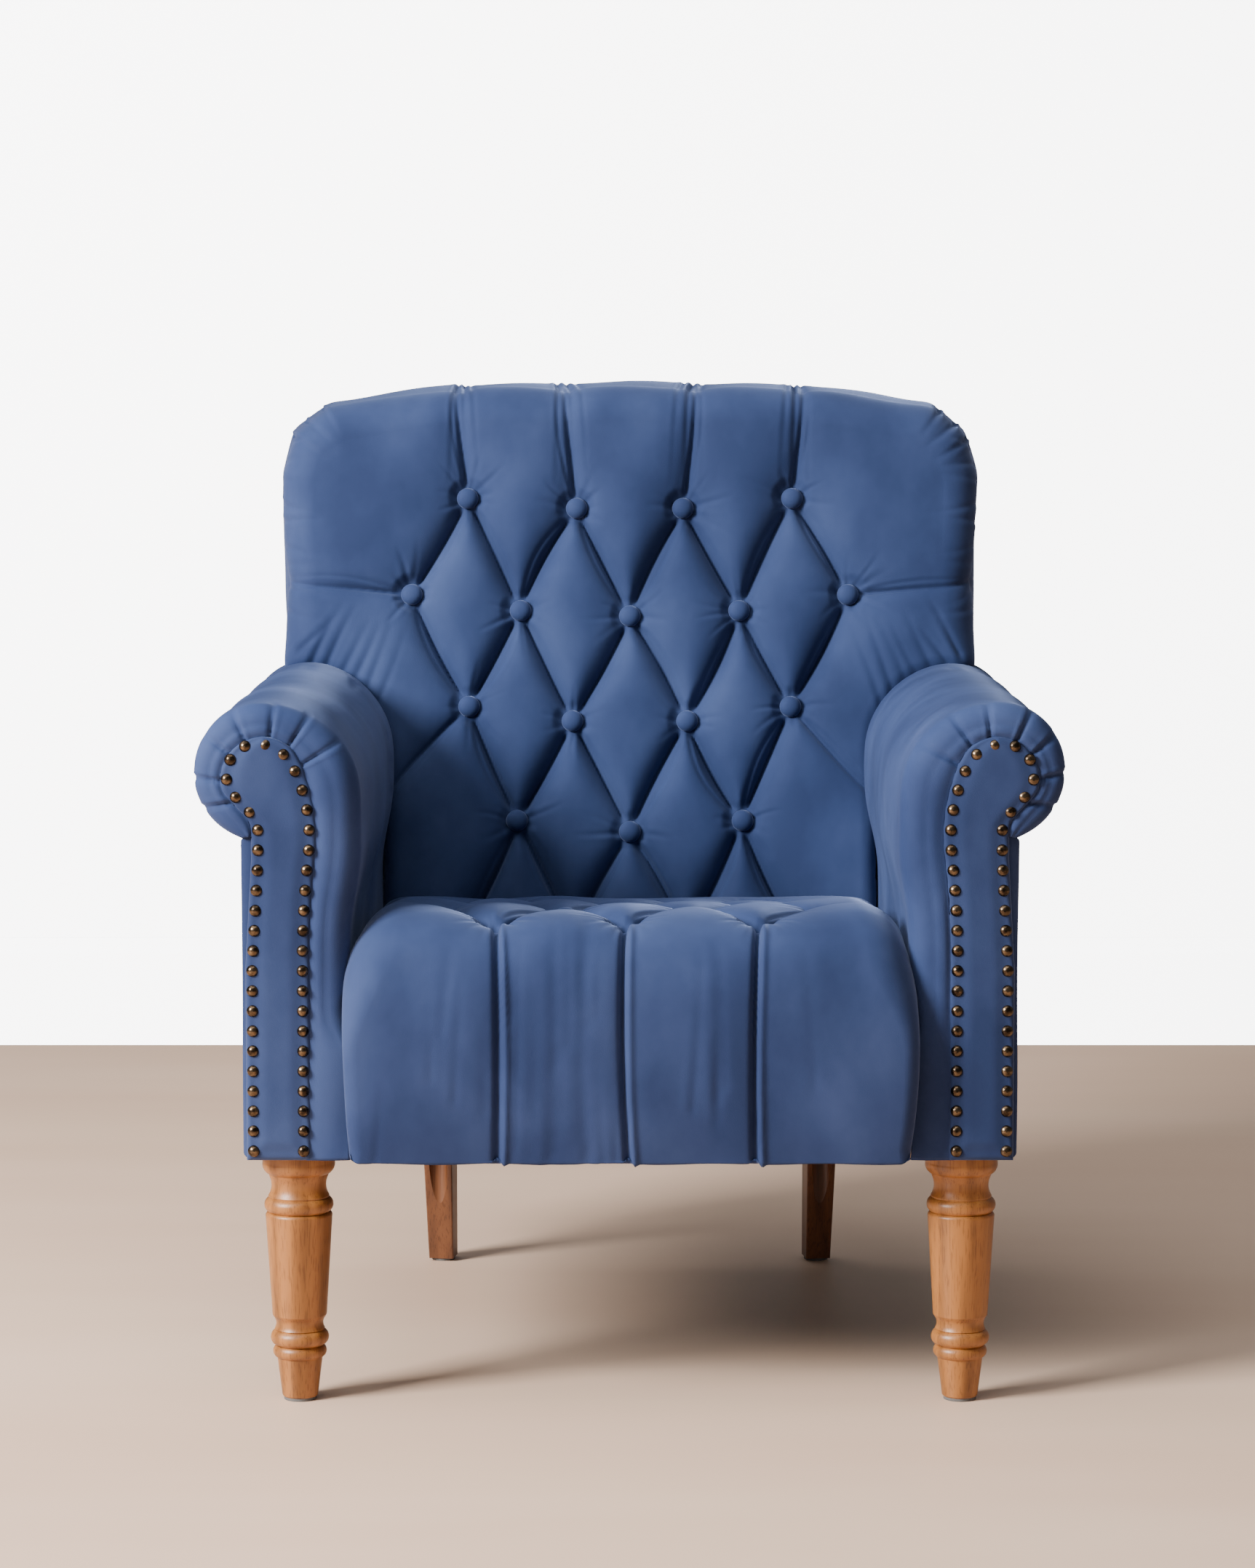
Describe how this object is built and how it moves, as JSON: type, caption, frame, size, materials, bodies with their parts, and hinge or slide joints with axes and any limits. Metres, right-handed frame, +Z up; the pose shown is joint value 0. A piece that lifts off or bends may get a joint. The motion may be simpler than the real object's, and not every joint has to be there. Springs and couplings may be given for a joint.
{
  "type": "upholstered armchair",
  "caption": "Upholstered armchair with a leaning button-tufted back, a tufted seat, rolled arms trimmed with domed nails, turned front legs and raked rear legs.",
  "frame": {"origin": "on the floor, under the middle of the chair's width and depth", "axes": "+X to the right of someone who faces the chair, -Y the way the chair faces, +Z up"},
  "size_m": [0.792, 0.81, 0.93],
  "materials": {
    "blue_velvet": "short-pile velvet with a soft sheen",
    "front_leg_oak": "turned oak, satin varnish",
    "rear_leg_oak": "stained oak, satin varnish",
    "antique_brass": "aged brass, darker at the rims",
    "felt": "dense felt",
    "zinc_steel": "bright zinc plate",
    "spring_steel": "oiled spring wire",
    "foam": "open-cell foam",
    "batting": "loose polyester batting",
    "dust_cloth": "black non-woven cloth",
    "jute": "plain-woven jute",
    "twine": "waxed twine",
    "hardboard": "smooth hardboard",
    "plywood": "sawn plywood",
    "frame_beech": "planed beech"
  },
  "bodies": {
    "root": {"back_buttons": "blue_velvet", "back_cover": "blue_velvet", "back_crest_rail": "frame_beech", "back_edge_padding": "batting", "back_foam": "foam", "back_lower_rail": "frame_beech", "back_middle_rail": "frame_beech", "back_webbing": "jute", "button_twines": "twine", "corner_blocks": "frame_beech", "dust_cover": "dust_cloth", "front_foot_pads": "felt", "front_seat_rail": "frame_beech", "hanger_bolts": "zinc_steel", "left_arm_cover": "blue_velvet", "left_arm_facing": "blue_velvet", "left_arm_foam": "foam", "left_arm_front_board": "plywood", "left_arm_inner_panel": "hardboard", "left_arm_nails": "antique_brass", "left_arm_outer_rail": "frame_beech", "left_arm_rear_board": "plywood", "left_arm_rear_cap": "blue_velvet", "left_arm_tacking_rail": "frame_beech", "left_arm_top_rail": "frame_beech", "left_back_upright": "frame_beech", "left_front_leg": "front_leg_oak", "left_outside_arm_panel": "blue_velvet", "left_rear_leg": "rear_leg_oak", "left_side_seat_rail": "frame_beech", "outside_back_panel": "blue_velvet", "rail_dowels": "frame_beech", "rear_foot_pads": "felt", "rear_leg_blocks": "frame_beech", "rear_leg_bolts": "zinc_steel", "rear_leg_washers": "zinc_steel", "rear_seat_rail": "frame_beech", "right_arm_cover": "blue_velvet", "right_arm_facing": "blue_velvet", "right_arm_foam": "foam", "right_arm_front_board": "plywood", "right_arm_inner_panel": "hardboard", "right_arm_nails": "antique_brass", "right_arm_outer_rail": "frame_beech", "right_arm_rear_board": "plywood", "right_arm_rear_cap": "blue_velvet", "right_arm_tacking_rail": "frame_beech", "right_arm_top_rail": "frame_beech", "right_back_upright": "frame_beech", "right_front_leg": "front_leg_oak", "right_outside_arm_panel": "blue_velvet", "right_rear_leg": "rear_leg_oak", "right_side_seat_rail": "frame_beech", "seat_buttons": "blue_velvet", "seat_cover": "blue_velvet", "seat_deck_cloth": "jute", "seat_foam": "foam", "seat_springs": "spring_steel", "spring_clips": "zinc_steel", "t_nuts": "zinc_steel"}
  },
  "joints": []
}
